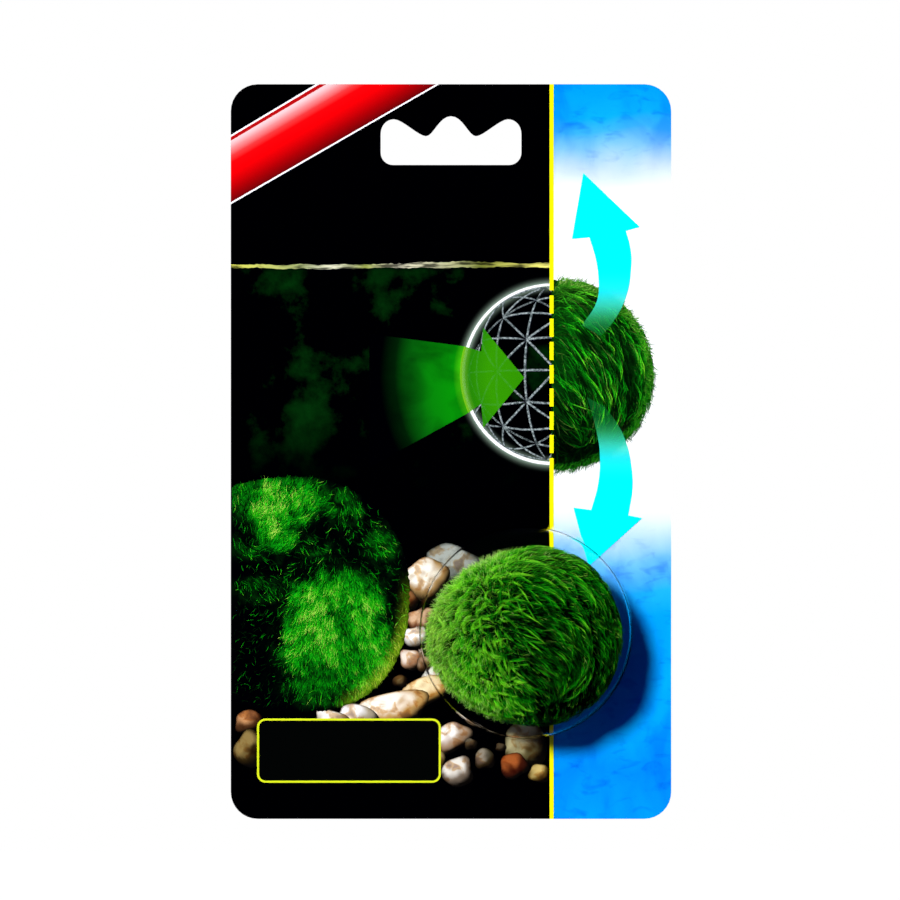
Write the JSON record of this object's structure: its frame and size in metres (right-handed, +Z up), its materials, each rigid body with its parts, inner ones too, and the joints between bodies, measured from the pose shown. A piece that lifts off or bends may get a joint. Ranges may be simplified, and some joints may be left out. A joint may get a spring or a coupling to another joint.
{
  "type": "moss ball hang pack",
  "caption": "Moss ball on a printed hang card: die-cut board with a lobed peg hole, a clear round blister sealed to it, and a green fibrous moss ball inside.",
  "frame": {"origin": "where the peg bears: the top of the hang hole's middle lobe, in the plane of the card's back", "axes": "+X to the right of someone facing the front of the card, +Y out of the card's back, +Z up along the card as it hangs"},
  "size_m": [0.1146, 0.0492, 0.191],
  "materials": {
    "coated_board": "solid bleached board, offset printed and varnished on the front, bare grey-white on the back",
    "clear_sheet": "clear thermoformed PET sheet",
    "moss": "short combed green fibres, bright at the left and dark at the right"
  },
  "bodies": {
    "root": {"card": "coated_board", "blister": "clear_sheet", "moss_ball": "moss"}
  },
  "joints": []
}
